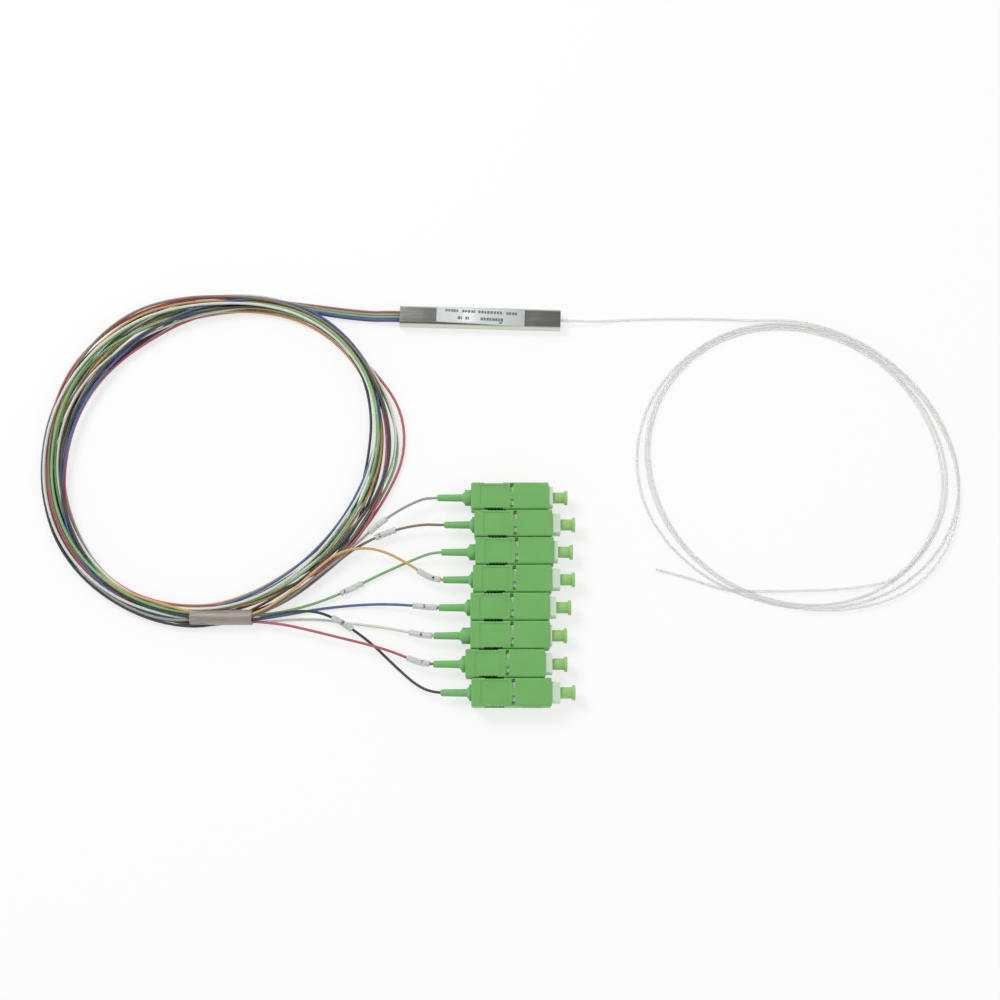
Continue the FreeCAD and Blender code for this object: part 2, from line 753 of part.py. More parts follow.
def feature(name, shape):
    piece = doc.addObject("Part::Feature", name)
    piece.Label = name
    piece.Shape = shape
    return piece


def report(name, points, edges, radii):
    runs = [(Vector(*b) - Vector(*a)).Length for a, b in zip(points, points[1:])]
    print(f"{name}: {sum(edge.Length for edge in edges):.1f} mm, runs {min(runs):.1f} to {max(runs):.1f}, "
          f"radii {min(radii):.1f} to {max(radii):.1f}")


def tail_route(number):
    """A tail's points, ending straight and level inside its boot."""
    tip = boot_tip(number)
    before, inside = tip - Vector(BEFORE_BOOT, 0, 0), tip + Vector(IN_BOOT, 0, 0)
    return [*TAIL_ROUTES[number - 1], tuple(before), tuple(inside)]


def make_tails():
    tubes, markers = [], []
    for number in range(1, PLUGS + 1):
        points = tail_route(number)
        edges, radii = rounded_path(points)
        report(f"tail {number}", points, edges, radii)
        tubes.append(swept(edges, size("tubing_diameter")))
        span = part_of_path(edges, MARKER_STARTS[number - 1], size("marker_length"))
        markers.append(swept(span, size("marker_outside")).cut(swept(span, size("marker_inside"))))
    tails = feature("output_tails", Part.makeCompound(tubes))
    return tails, feature("marker_sleeves", Part.makeCompound(markers))


def lead_route(column, row):
    """A lead from the seal's face to the coil, in its place in the stack of two rows of four."""
    across = (column - 1.5) * size("lead_pitch_across")
    up = (row - 0.5) * size("lead_pitch_up")
    face = -(size("tube_length") / 2 - size("seal_recess"))
    middle = size("tube_height") / 2
    points = [
        in_module(face, across, middle + up),
        in_module(face - STRAIGHT_LEAD, across, middle + up - LEAD_DROOP),
    ]
    for (along, height), bend in zip(LEAD_SPREAD, LEAD_BEND):
        points.append((along, across * LEAD_CLOSING + bend, height + up))
    return points


def make_leads():
    tubes = []
    for column in range(4):
        for row in range(2):
            points = lead_route(column, row)
            edges, radii = rounded_path(points)
            report(f"lead {column + 1}{row + 1}", points, edges, radii)
            tubes.append(swept(edges, size("tubing_diameter")))
    return feature("output_leads", Part.makeCompound(tubes))


def oval(centre, radii, grown):
    """A flat face bounded by the coil's mean line, moved outwards by the given amount."""
    line = Part.Ellipse(Vector(*centre, 0), radii[0] + grown, radii[1] + grown)
    return Part.Face(Part.Wire([line.toShape()]))


def loop(centre, radius, shares):
    """A flat face in a smooth closed line, at evenly spaced shares of the radius."""
    points = []
    for step, share in enumerate(shares):
        angle = 2 * math.pi * step / len(shares)
        points.append(Vector(*centre, 0) + Vector(math.cos(angle), math.sin(angle), 0) * (share * radius))
    curve = Part.BSplineCurve()
    curve.interpolate(points, PeriodicFlag=True)
    return Part.Face(Part.Wire([curve.toShape()]))


def ring(outside, inside, height):
    """A closed ring between two flat faces' outlines, standing on the ground, with rounded edges."""
    plain = outside.extrude(Vector(0, 0, height)).cut(inside.extrude(Vector(0, 0, height)))
    rims = [edge for edge in plain.Edges if edge.BoundBox.ZLength < TOLERANCE]
    return plain.makeFillet(COIL_ROUNDING * height, rims)


def make_coils():
    """The coiled lengths, each as one closed solid of the coil's outer shape."""
    radius, height = size("output_coil_radius"), size("output_coil_height")
    edges = [loop(OUTPUT_COIL_CENTRE, radius, shares) for shares in (COIL_OUTSIDE, COIL_INSIDE)]
    seat_radius = size("sleeve_outside") / 2 + size("sleeve_seat")
    half = size("sleeve_length") / 2 + size("sleeve_seat")
    seat_start = Vector(SLEEVE_CENTRE[0] - half, SLEEVE_CENTRE[1], size("sleeve_outside") / 2)
    seat = Part.makeCylinder(seat_radius, 2 * half, seat_start, Vector(1, 0, 0))
    above = Part.makeBox(2 * half, 2 * seat_radius, height, seat_start - Vector(0, seat_radius, 0))
    output_coil = feature("output_coil", ring(*edges, height).cut(seat.fuse(above)))
    band = size("input_coil_band") / 2
    edges = [oval(INPUT_COIL_CENTRE, INPUT_COIL_RADII, grown) for grown in (band, -band)]
    return output_coil, feature("input_coil", ring(*edges, size("input_coil_height")))


def make_coil_sleeve():
    """The clear sleeve that keeps the eight output tubes together where they leave the coil."""
    outer = doc.addObject("Part::Cylinder", "sleeve_wall")
    inner = doc.addObject("Part::Cylinder", "sleeve_bore")
    for piece, name in ((outer, "sleeve_outside"), (inner, "sleeve_inside")):
        piece.setExpression("Radius", cells(f"{name} / 2"))
        piece.setExpression("Height", cells("sleeve_length"))
    sleeve = doc.addObject("Part::Cut", "coil_sleeve")
    sleeve.Base, sleeve.Tool = outer, inner
    sleeve.Placement = Placement(Vector(), Rotation(Vector(0, 1, 0), 90))
    place(sleeve, f"{SLEEVE_CENTRE[0]} - sleeve_length / 2", f"{SLEEVE_CENTRE[1]}", "sleeve_outside / 2")
    return sleeve


def make_input_cord():
    face = size("tube_length") / 2 - size("seal_recess")
    middle = size("tube_height") / 2
    routes = {
        "input_lead": [
            in_module(face, 0, middle), in_module(face + STRAIGHT_LEAD, 0, middle), *INPUT_LEAD_ROUTE,
        ],
        "input_tail": list(INPUT_TAIL_ROUTE),
    }
    pieces = []
    for name, points in routes.items():
        edges, radii = rounded_path(points)
        report(name, points, edges, radii)
        pieces.append(feature(name, swept(edges, size("tubing_diameter"))))
    return pieces


# ---- building and writing ------------------------------------------------------------------------


def build():
    fill_sheet()
    nodes = [make_module_tube(), make_label()]
    nodes += [make_seal("input_seal", 1), make_seal("output_seal", "( 0 - 1 )")]
    nodes += make_optics()
    numbers = range(1, PLUGS + 1)
    for make in (make_grip, make_plug_frame, make_ferrule, make_dust_cap, make_boot):
        nodes += [make(number) for number in numbers]
    nodes.append(gather("rear_bodies", [make_rear_body(number) for number in numbers]))
    nodes.append(gather("ferrule_springs", [make_spring(number) for number in numbers]))
    nodes += make_tails()
    nodes.append(make_leads())
    nodes += make_coils()
    nodes.append(make_coil_sleeve())
    nodes += make_input_cord()
    doc.recompute()
    return nodes


def check(nodes):
    """Nothing in the document has failed, and each piece is a sound shape."""
    for item in doc.Objects:
        if {"Invalid", "Error"} & set(item.State):
            raise RuntimeError(f"{item.Name} is {item.State}")
    for node in nodes:
        if node.Shape.isNull() or not node.Shape.isValid():
            raise RuntimeError(f"{node.Label} has no valid shape")


def write(nodes):
    os.makedirs("parts", exist_ok=True)
    for node in nodes:
        node.Shape.exportStep(f"parts/{node.Label}.step")
    print(f"{len(nodes)} pieces written")


pieces = build()
check(pieces)
write(pieces)
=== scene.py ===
"""A fibre optic splitter with coiled tubes and eight green plugs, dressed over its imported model."""
import math

import bmesh
import bpy
import numpy as np
from mathutils import Matrix, Vector


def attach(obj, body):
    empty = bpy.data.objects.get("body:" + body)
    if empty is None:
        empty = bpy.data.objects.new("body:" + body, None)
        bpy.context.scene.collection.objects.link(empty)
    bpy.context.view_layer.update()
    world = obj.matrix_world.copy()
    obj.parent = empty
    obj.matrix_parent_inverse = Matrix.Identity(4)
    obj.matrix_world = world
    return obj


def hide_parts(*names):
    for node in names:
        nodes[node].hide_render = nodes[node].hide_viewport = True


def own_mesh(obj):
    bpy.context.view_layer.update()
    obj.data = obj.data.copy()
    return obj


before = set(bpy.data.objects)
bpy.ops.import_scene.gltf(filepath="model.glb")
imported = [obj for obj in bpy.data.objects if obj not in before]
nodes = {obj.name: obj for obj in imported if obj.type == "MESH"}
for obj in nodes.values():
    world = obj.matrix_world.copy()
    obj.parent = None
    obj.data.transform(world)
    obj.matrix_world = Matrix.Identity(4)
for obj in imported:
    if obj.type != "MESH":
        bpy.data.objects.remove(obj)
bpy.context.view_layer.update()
MM = 0.001


# ---- the camera ---------------------------------------------------------------------------------------------------

view = bpy.data.cameras.new("view")
view.lens = 49.25
view.sensor_width = 36
view.clip_start = 0.01
camera = bpy.data.objects.new("camera", view)
camera.location = Vector((6.8, -171.7, 443.0)) * MM
camera.rotation_euler = (math.radians(13.72), 0, 0)
bpy.context.scene.collection.objects.link(camera)
bpy.context.scene.camera = camera


# ---- node helpers and shared effects ------------------------------------------------------------------------------


def wire(tree, source, target):
    """Wires an output to an input."""
    tree.links.new(source, target)


def feed(tree, value, target):
    """Wires an input where the value is an output, and otherwise sets it."""
    if isinstance(value, bpy.types.NodeSocket):
        wire(tree, value, target)
    else:
        target.default_value = value


def add_node(tree, kind, **settings):
    """A node with its own settings, and its inputs by name, or by number as i0, i1 and so on."""
    node = tree.nodes.new(kind)
    for name, value in settings.items():
        if hasattr(node, name):
            setattr(node, name, value)
        elif name[0] == "i" and name[1:].isdigit():
            feed(tree, value, node.inputs[int(name[1:])])
        else:
            feed(tree, value, node.inputs[name])
    return node


def effect(name, inputs, outputs):
    """An empty node group with float, colour or vector inputs and outputs."""
    group = bpy.data.node_groups.new(name, "ShaderNodeTree")
    for label, kind, value in inputs:
        socket = group.interface.new_socket(label, in_out="INPUT", socket_type=kind)
        if value is not None:
            socket.default_value = value
    for label, kind in outputs:
        group.interface.new_socket(label, in_out="OUTPUT", socket_type=kind)
    return group, group.nodes.new("NodeGroupInput"), group.nodes.new("NodeGroupOutput")


def placed(tree, group, **inputs):
    """A shared effect placed in a material; an underscore stands for the space in an input's name."""
    node = tree.nodes.new("ShaderNodeGroup")
    node.node_tree = group
    for name, value in inputs.items():
        feed(tree, value, node.inputs[name.replace("_", " ")])
    return node


def linear(red, green, blue):
    """An eight-bit screen colour as linear light."""
    parts = []
    for value in (red, green, blue):
        share = value / 255
        parts.append(share / 12.92 if share <= 0.04045 else ((share + 0.055) / 1.055) ** 2.4)
    return (*parts, 1.0)


def make_moulded_skin():
    """Mould texture: fine grain for the bump, slow shade changes and slow gloss changes over a moulded face."""
    group, inside, out = effect(
        "moulded skin",
        [("Place", "NodeSocketVector", None), ("Colour", "NodeSocketColor", None),
         ("Shade change", "NodeSocketFloat", 0.06), ("Gloss", "NodeSocketFloat", 0.4),
         ("Gloss change", "NodeSocketFloat", 0.1)],
        [("Colour", "NodeSocketColor"), ("Roughness", "NodeSocketFloat"), ("Grain", "NodeSocketFloat")],
    )
    place = inside.outputs["Place"]
    slow = add_node(group, "ShaderNodeTexNoise", Vector=place, Scale=160.0, Detail=3.0, Roughness=0.55)
    fine = add_node(group, "ShaderNodeTexNoise", Vector=place, Scale=6500.0, Detail=2.0, Roughness=0.5)
    span = add_node(group, "ShaderNodeMath", operation="MULTIPLY_ADD", i0=slow.outputs["Fac"], i1=2.0, i2=-1.0)
    shade = add_node(group, "ShaderNodeMath", operation="MULTIPLY_ADD", i0=span.outputs[0],
                     i1=inside.outputs["Shade change"], i2=1.0)
    tinted = add_node(group, "ShaderNodeVectorMath", operation="SCALE", i0=inside.outputs["Colour"],
                      Scale=shade.outputs[0])
    gloss = add_node(group, "ShaderNodeMath", operation="MULTIPLY_ADD", i0=span.outputs[0],
                     i1=inside.outputs["Gloss change"], i2=inside.outputs["Gloss"])
    wire(group, tinted.outputs[0], out.inputs["Colour"])
    wire(group, gloss.outputs[0], out.inputs["Roughness"])
    wire(group, fine.outputs["Fac"], out.inputs["Grain"])
    return group


def make_edge_light():
    """A mask that is one along a piece's sharp edges, broken up by noise, where a painted highlight makes them pale.
    """
    group, inside, out = effect(
        "painted edge highlight",
        [("Place", "NodeSocketVector", None), ("Width", "NodeSocketFloat", 0.0002),
         ("Amount", "NodeSocketFloat", 0.5)],
        [("Mask", "NodeSocketFloat")],
    )
    soft = add_node(group, "ShaderNodeBevel", samples=4, Radius=inside.outputs["Width"])
    plain = add_node(group, "ShaderNodeNewGeometry")
    facing = add_node(group, "ShaderNodeVectorMath", operation="DOT_PRODUCT", i0=soft.outputs[0],
                      i1=plain.outputs["True Normal"])
    turned = add_node(group, "ShaderNodeMapRange", i0=facing.outputs["Value"], i1=0.98, i2=0.8, i3=0.0, i4=1.0)
    patches = add_node(group, "ShaderNodeTexNoise", Vector=inside.outputs["Place"], Scale=900.0, Detail=2.0)
    broken = add_node(group, "ShaderNodeMath", operation="MULTIPLY", i0=turned.outputs[0], i1=patches.outputs["Fac"])
    amount = add_node(group, "ShaderNodeMath", operation="MULTIPLY", i0=broken.outputs[0],
                      i1=inside.outputs["Amount"], use_clamp=True)
    wire(group, amount.outputs[0], out.inputs["Mask"])
    return group


def make_drawn_lines():
    """Fine lines along x, as drawing or brushing leaves them in metal, with slow dull clouds between them."""
    group, inside, out = effect(
        "drawn lines",
        [("Place", "NodeSocketVector", None), ("Colour", "NodeSocketColor", None), ("Gloss", "NodeSocketFloat", 0.3),
         ("Depth", "NodeSocketFloat", 0.1)],
        [("Colour", "NodeSocketColor"), ("Roughness", "NodeSocketFloat"), ("Lines", "NodeSocketFloat")],
    )
    place = inside.outputs["Place"]
    stretched = add_node(group, "ShaderNodeVectorMath", operation="MULTIPLY", i0=place, i1=(60.0, 5200.0, 5200.0))
    lines = add_node(group, "ShaderNodeTexNoise", Vector=stretched.outputs[0], Scale=1.0, Detail=3.0)
    clouds = add_node(group, "ShaderNodeTexNoise", Vector=place, Scale=90.0, Detail=2.0)
    both = add_node(group, "ShaderNodeMath", operation="MULTIPLY_ADD", i0=clouds.outputs["Fac"], i1=0.6,
                    i2=lines.outputs["Fac"])
    level = add_node(group, "ShaderNodeMath", operation="SUBTRACT", i0=both.outputs[0], i1=0.8)
    shade = add_node(group, "ShaderNodeMath", operation="MULTIPLY_ADD", i0=level.outputs[0],
                     i1=inside.outputs["Depth"], i2=1.0)
    tinted = add_node(group, "ShaderNodeVectorMath", operation="SCALE", i0=inside.outputs["Colour"],
                      Scale=shade.outputs[0])
    dulled = add_node(group, "ShaderNodeMath", operation="MULTIPLY_ADD", i0=level.outputs[0], i1=0.2,
                      i2=inside.outputs["Gloss"])
    wire(group, tinted.outputs[0], out.inputs["Colour"])
    wire(group, dulled.outputs[0], out.inputs["Roughness"])
    wire(group, lines.outputs["Fac"], out.inputs["Lines"])
    return group


moulded_skin = make_moulded_skin()
edge_light = make_edge_light()
drawn_lines = make_drawn_lines()


def finish_named(name):
    """A new material, its node tree, its shader and the object's own coordinates."""
    material = bpy.data.materials.new(name)
    material.use_nodes = True
    tree = material.node_tree
    shader = tree.nodes["Principled BSDF"]
    return material, tree, shader, add_node(tree, "ShaderNodeTexCoord").outputs["Object"]


def emboss(tree, shader, height, strength, distance):
    """Lets a height change how the surface takes the light."""
    lift = add_node(tree, "ShaderNodeBump", Height=height, Strength=strength, Distance=distance)
    wire(tree, lift.outputs[0], shader.inputs["Normal"])


def plastic(name, colour, gloss=0.4, shade_change=0.06, edge_highlight=0.35, edge=0.00018, bump=0.03, glow=0.0):
    """A moulded plastic of the given colour, with a painted highlight that makes its sharp edges paler."""
    material, tree, shader, place = finish_named(name)
    skin = placed(tree, moulded_skin, Place=place, Colour=linear(*colour), Shade_change=shade_change, Gloss=gloss,
                  Gloss_change=0.12)
    highlight_mask = placed(tree, edge_light, Place=place, Width=edge, Amount=edge_highlight)
    # Painted highlight: sharp edges are mixed towards a paler colour, as if they caught the light.
    pale = tuple(0.45 + 0.55 * part for part in linear(*colour)[:3]) + (1.0,)
    mixed = add_node(tree, "ShaderNodeMix", data_type="RGBA", Factor=highlight_mask.outputs["Mask"], i6=skin.outputs["Colour"],
                     i7=pale)
    wire(tree, mixed.outputs[2], shader.inputs["Base Color"])
    wire(tree, skin.outputs["Roughness"], shader.inputs["Roughness"])
    emboss(tree, shader, skin.outputs["Grain"], bump, 0.00005)
    if glow:
        shader.inputs["Subsurface Weight"].default_value = glow
        shader.inputs["Subsurface Radius"].default_value = (0.6, 1.0, 0.5)
        shader.inputs["Subsurface Scale"].default_value = 0.0006
    return material


def tubing(name, colour):
    """The extruded jacket of a fibre: a fine grain and slow changes of shade."""
    material, tree, shader, place = finish_named(name)
    skin = placed(tree, moulded_skin, Place=place, Colour=linear(*colour), Shade_change=0.12, Gloss=0.38,
                  Gloss_change=0.1)
    wire(tree, skin.outputs["Colour"], shader.inputs["Base Color"])
    wire(tree, skin.outputs["Roughness"], shader.inputs["Roughness"])
    emboss(tree, shader, skin.outputs["Grain"], 0.04, 0.00004)
    return material


def metal(name, colour, gloss=0.3, depth=0.25, bump=0.05):
    """A drawn or turned metal with fine lines along it."""
    material, tree, shader, place = finish_named(name)
    lines = placed(tree, drawn_lines, Place=place, Colour=linear(*colour), Gloss=gloss, Depth=depth)
    wire(tree, lines.outputs["Colour"], shader.inputs["Base Color"])
    wire(tree, lines.outputs["Roughness"], shader.inputs["Roughness"])
    shader.inputs["Metallic"].default_value = 1.0
    emboss(tree, shader, lines.outputs["Lines"], bump, 0.00002)
    return material


def clear_plastic(name, colour, haze=0.25, clearness=0.8):
    """A soft see-through plastic, a little hazy, with faint lines along it."""
    material, tree, shader, place = finish_named(name)
    lines = placed(tree, drawn_lines, Place=place, Colour=linear(*colour), Gloss=haze, Depth=0.12)
    wire(tree, lines.outputs["Colour"], shader.inputs["Base Color"])
    wire(tree, lines.outputs["Roughness"], shader.inputs["Roughness"])
    shader.inputs["Transmission Weight"].default_value = clearness
    shader.inputs["IOR"].default_value = 1.4
    return material


TUBE_COLOURS = (
    ("slate", (160, 165, 156)),
    ("brown", (142, 122, 104)),
    ("green", (136, 182, 126)),
    ("orange", (216, 172, 112)),
    ("blue", (82, 106, 158)),
    ("white", (220, 228, 214)),
    ("red", (190, 98, 116)),
    ("black", (64, 65, 67)),
)
tube_finishes = [tubing(f"{name} tubing", colour) for name, colour in TUBE_COLOURS]
clear_tubing = clear_plastic("clear tubing", (248, 249, 247), haze=0.3, clearness=0.5)


# ---- how coiled tubes lie -----------------------------------------------------------------------------------------

PLUGS = range(1, 9)
TUBE = 0.9
TURN_POINTS = 24
STEP = 2 * math.pi / TURN_POINTS
# Tubes come to rest in rounds. In each, a tube is pulled towards its drawn line, sinks, evens out its bends as a
# stiff tube does and is pushed off what it touches. It doesn't sink in the last rounds.
ROUNDS, STILL_ROUNDS = 420, 60
PULL = 0.05
SINKING = 0.03
STIFFNESS = 0.22
PUSH = 0.22
FARTHEST_PUSH = 0.3
TOUCHING = TUBE * 1.02
LOWEST = TUBE * 0.52
# How far a later turn is helped to climb over an earlier one.
CLIMB = 0.02


def smooth_between(values, position):
    """The value at a place in a closed row of evenly spaced ones, on a smooth line through them."""
    low = math.floor(position)
    share = position - low
    a, b, c, d = (values[(low + offset) % len(values)] for offset in (-1, 0, 1, 2))
    return b + 0.5 * share * (c - a + share * (2 * a - 5 * b + 4 * c - d + share * (3 * (b - c) + d - a)))


def settle(wanted, held, blocks):
    """Lets turns of tube come to rest on the ground and on each other.

    wanted is each tube's radius at every point of its way round, held maps (tube, point) to a fixed radius and
    height, and blocks maps a point's number within a turn to a round thing there: its radius, height and half-width.
    Returns each tube's radii and heights. Every turn starts out above the last one, its tubes a little apart."""
    counts = [len(radii) for radii in wanted]
    tube = np.repeat(np.arange(len(wanted)), counts)
    point = np.concatenate([np.arange(count) for count in counts])
    start = np.repeat(np.cumsum([0] + counts[:-1]), counts)
    total = sum(counts)
    before = np.maximum(np.arange(total) - 1, start)
    after = np.minimum(np.arange(total) + 1, start + np.array(counts)[tube] - 1)
    aim = np.concatenate(wanted)
    # A turn's tubes start at eight heights, and neighbours not at neighbouring ones, so they slip past each other.
    level = point // TURN_POINTS
    place = np.column_stack([aim, TUBE * (0.55 + 0.9 * level + 0.1 * ((tube * 3) % 8))])
    free = np.ones(total)
    for (number, step), spot in held.items():
        index = sum(counts[:number]) + step
        place[index] = spot
        aim[index] = spot[0]
        free[index] = 0
    first, second = np.triu_indices(total, 1)
    near = (point[first] - point[second]) % TURN_POINTS == 0
    first, second = first[near], second[near]
    over = np.where(point[first] > point[second], 1.0, -1.0)
    between = (after[first] != first) & (after[second] != second)
    mid_first, mid_second, mid_over = first[between], second[between], over[between]
    for turn in range(ROUNDS):
        place[:, 0] += free * PULL * (aim - place[:, 0])
        place[:, 1] -= free * (SINKING if turn < ROUNDS - STILL_ROUNDS else 0.0)
        drift = place - np.column_stack([aim, np.zeros(total)])
        place += STIFFNESS * free[:, None] * (drift[before] + drift[after] - 2 * drift)
        # Points of two tubes at the same place round the coil are kept apart, and so are the middles after them.
        for _ in range(2):
            moves = np.zeros_like(place)
            for a, b, c, d, up in ((first, second, first, second, over),
                                   (mid_first, mid_second, after[mid_first], after[mid_second], mid_over)):
                apart = (place[a] + place[c] - place[b] - place[d]) / 2
                apart[:, 1] += CLIMB * up
                distance = np.maximum(np.hypot(apart[:, 0], apart[:, 1]), 1e-6)
                push = apart / distance[:, None] * (np.clip(TOUCHING - distance, 0, None) * PUSH)[:, None]
                for index, way in ((a, 1), (c, 1), (b, -1), (d, -1)):
                    np.add.at(moves, index, way * push)
            size = np.maximum(np.hypot(moves[:, 0], moves[:, 1]), 1e-9)
            place += moves * (np.minimum(size, FARTHEST_PUSH) / size * free)[:, None]
        # What isn't held goes round each block.
        for step, (radius, height, reach) in blocks.items():
            inside = (point % TURN_POINTS == step) & (free > 0)
            away = place[inside] - (radius, height)
            distance = np.maximum(np.hypot(away[:, 0], away[:, 1]), 1e-6)
            place[inside] += away / distance[:, None] * np.clip(reach - distance, 0, None)[:, None]
        place[:, 1] = np.where(free > 0, np.maximum(place[:, 1], LOWEST), place[:, 1])
    return [place[tube == number] for number in range(len(wanted))]


def round_the_coil(centre, angle, way, laid):
    """A coil's points from the radii and heights of a tube that starts at the angle and goes round."""
    points = []
    for number, (radius, height) in enumerate(laid):
        turned = angle + way * number * STEP
        reach = radius / math.cos(STEP / 2)
        points.append((centre[0] + reach * math.cos(turned), centre[1] + reach * math.sin(turned), height))
    return points


def lay_tube(name, points, finish, body="splitter"):
    """A round tube along one smooth line with these points, given in millimetres."""
    curve = bpy.data.curves.new(name, "CURVE")
    curve.dimensions = "3D"
    spline = curve.splines.new("NURBS")
    spline.points.add(len(points) - 1)
    for spot, point in zip(spline.points, points):
        spot.co = (point[0] * MM, point[1] * MM, point[2] * MM, 1)
    spline.order_u = 3
    spline.use_endpoint_u = True
    spline.resolution_u = 5
    curve.bevel_depth = TUBE / 2 * MM
    curve.bevel_resolution = 4
    curve.use_fill_caps = True
    curve.materials.append(finish)
    piece = bpy.data.objects.new(name, curve)
    bpy.context.scene.collection.objects.link(piece)
    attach(piece, body)
    return piece


# ---- the eight output tubes ---------------------------------------------------------------------------------------

MODULE_END = 27.1
MODULE_MIDDLE = 2.0
MODULE_LEAN = math.radians(1.6)
# Each tube's place in the stack that leaves the module: its column from the near side and its row from below.
STACK = ((1, 1), (2, 0), (2, 1), (3, 0), (0, 1), (1, 0), (3, 1), (0, 0))
STACK_MIDDLE = (1.5, 0.5)
LEAD_PITCH = (0.93, 0.93)
STRAIGHT_LEAD = 5
LEAD_SPREAD = ((-37.0, 0.9, 1.15), (-47.0, 1.25, 2.05))
LEAD_CLOSING = 0.96
LEAD_DROOP = 0.02
# Where the stack joins the coil: its middle's radius and height, and how much it has closed up sideways.
JOINING_RADIUS, JOINING_HEIGHT, JOINING_CLOSING = 60.0, 1.95, 0.9

# The band of tubes in the coil: its inside and outside radius every thirty degrees, anticlockwise from the right.
COIL_CENTRE = (-87.6, -49.0)
BAND_INSIDE = (49.8, 55.0, 54.5, 50.2, 47.6, 48.4, 50.0, 51.5, 52.5, 49.2, 45.9, 46.3)
BAND_OUTSIDE = (58.7, 59.2, 59.6, 57.8, 60.1, 60.0, 58.9, 59.3, 58.4, 58.1, 54.9, 55.6)
COIL_START = 60
EDGE_STEP = 30
# Each tube's way round the coil, turn by turn from sixty degrees: across the band every thirty degrees, 0 at its
# inside and 9 at its outside. The second turn lies half a step further out, between the others.
ACROSS_SHIFTS = (0, 0.5, 0)
ACROSS_WIDTH = 9.5
ACROSS = (
    "977675788876 312210233245 75788887",
    "832214869654 365421589786 67986542",
    "865497326899 323642224333 44665423",
    "655433210161 114456536454 56876621",
    "981148643725 756899631017 95200367",
    "997974354599 511331233122 34678875",
    "843356445999 220002115976 67897651",
    "751263332301 887789986698 52211134",
)
# Loose loops that stand off the band: the tube, how far, at what angle on its way round, and over what angle.
STRAYS = ((7, 5.2, 368, 33), (3, 2.8, 362, 25), (6, 1.6, 366, 28))
# Where each tube sits inside the clear sleeve, as a direction from its middle; the slate one is in the middle.
SLEEVE_RING = 1.05
SLEEVE_PLACES = {1: None, 3: 12, 4: 63, 8: 115, 7: 166, 6: 218, 5: 269, 2: 321}
SLEEVE_LINE = -103.4
SLEEVE_HEIGHT = 2.5
SLEEVE_RADIUS = 2.5
SLEEVE_STEPS = (62, 63)
# The tubes that leave the band further round than the sleeve, and where they are last in it.
LATE_TUBES = {1: (53.9, 3.4), 2: (54.6, 2.3), 4: (53.0, 4.6)}

# Each tube's way from the band or the sleeve to its plug.
TAIL_ROUTES = (
    ((-53.6, -90.4, 3.4), (-46.9, -85.2, 3.5), (-41.6, -80.4, 3.55), (-34.3, -73.8, 4.6),
     (-27.2, -68.5, 4.6), (-19.6, -64.5, 4.4)),
    ((-48.5, -87.0, 2.3), (-42.6, -81.6, 2.3), (-35.2, -77.4, 2.8), (-26.6, -74.1, 3.6),
     (-18.2, -72.8, 4.2)),
    ((-68.0, -102.2, 1.9), (-60.5, -100.7, 1.5), (-51.8, -98.1, 1.25), (-42.2, -94.0, 1.2),
     (-32.6, -88.9, 0.8), (-25.2, -85.6, 1.0), (-18.6, -83.2, 3.2)),
    ((-53.0, -88.0, 4.7), (-46.4, -82.4, 4.7), (-38.4, -80.6, 4.7), (-31.4, -81.8, 4.7),
     (-24.0, -85.5, 4.6), (-17.6, -89.8, 4.4)),
    ((-70.0, -103.6, 1.3), (-62.0, -102.2, 0.9), (-52.6, -100.4, 0.8), (-40.6, -99.1, 0.9),
     (-29.6, -98.9, 1.9), (-20.0, -99.8, 3.7)),
    ((-70.0, -104.7, 0.9), (-61.0, -103.8, 0.6), (-51.0, -103.8, 0.5), (-41.0, -105.2, 0.6),
     (-31.0, -106.5, 1.6), (-21.5, -108.6, 3.5)),
    ((-71.0, -104.9, 2.6), (-62.6, -105.9, 3.4), (-53.0, -108.2, 4.0), (-43.4, -110.6, 4.3),
     (-34.0, -112.9, 4.4), (-27.0, -115.1, 4.4), (-21.0, -117.6, 4.4)),
    ((-69.0, -103.2, 4.0), (-60.5, -101.6, 4.2), (-52.6, -101.6, 4.2), (-46.0, -104.2, 3.8),
     (-40.4, -107.6, 1.8), (-34.2, -112.2, 0.7), (-27.6, -118.6, 1.2), (-20.0, -125.5, 3.0)),
)
# Where each plug's frame ends in front, and how the plugs lie beside each other.
FRAME_FRONTS = (24.15, 26.55, 25.7, 26.3, 24.95, 23.5, 23.5, 25.95)
PLUG_LENGTH = 38.1
FIRST_PLUG = -63.9
PLUG_PITCH = 9.15
PLUG_AXIS = 4.3
BEFORE_BOOT, IN_BOOT = 2.2, 2.0


def in_module(along, across, up):
    """A place given in the module's own directions; the module lies a little askew."""
    turned = (math.cos(MODULE_LEAN), math.sin(MODULE_LEAN))
    return (along * turned[0] + across * turned[1], across * turned[0] - along * turned[1], up)


def lead(number):
    """A tube's straight start at the module's end and its way towards the coil."""
    across, up = ((spot - middle) * pitch for spot, middle, pitch in zip(STACK[number - 1], STACK_MIDDLE, LEAD_PITCH))
    points = [in_module(-MODULE_END, across, MODULE_MIDDLE + up),
              in_module(-MODULE_END - STRAIGHT_LEAD, across, MODULE_MIDDLE + up - LEAD_DROOP)]
    points += [(x, across * LEAD_CLOSING + bend, height + up) for x, height, bend in LEAD_SPREAD]
    return points, (JOINING_RADIUS + JOINING_CLOSING * across, JOINING_HEIGHT + up)


def plug_place(number):
    """Where a plug's frame ends in front, and where its axis lies in the row."""
    return FRAME_FRONTS[number - 1], FIRST_PLUG - (number - 1) * PLUG_PITCH


def into_boot(number):
    """The straight end of a tube in its plug's boot."""
    front, axis_y = plug_place(number)
    tip = front - PLUG_LENGTH
    return [(tip - BEFORE_BOOT, axis_y, PLUG_AXIS), (tip + IN_BOOT, axis_y, PLUG_AXIS)]


def coil_angle(step):
    """How far round the output coil a point lies, in degrees."""
    return COIL_START + step * 360 / TURN_POINTS


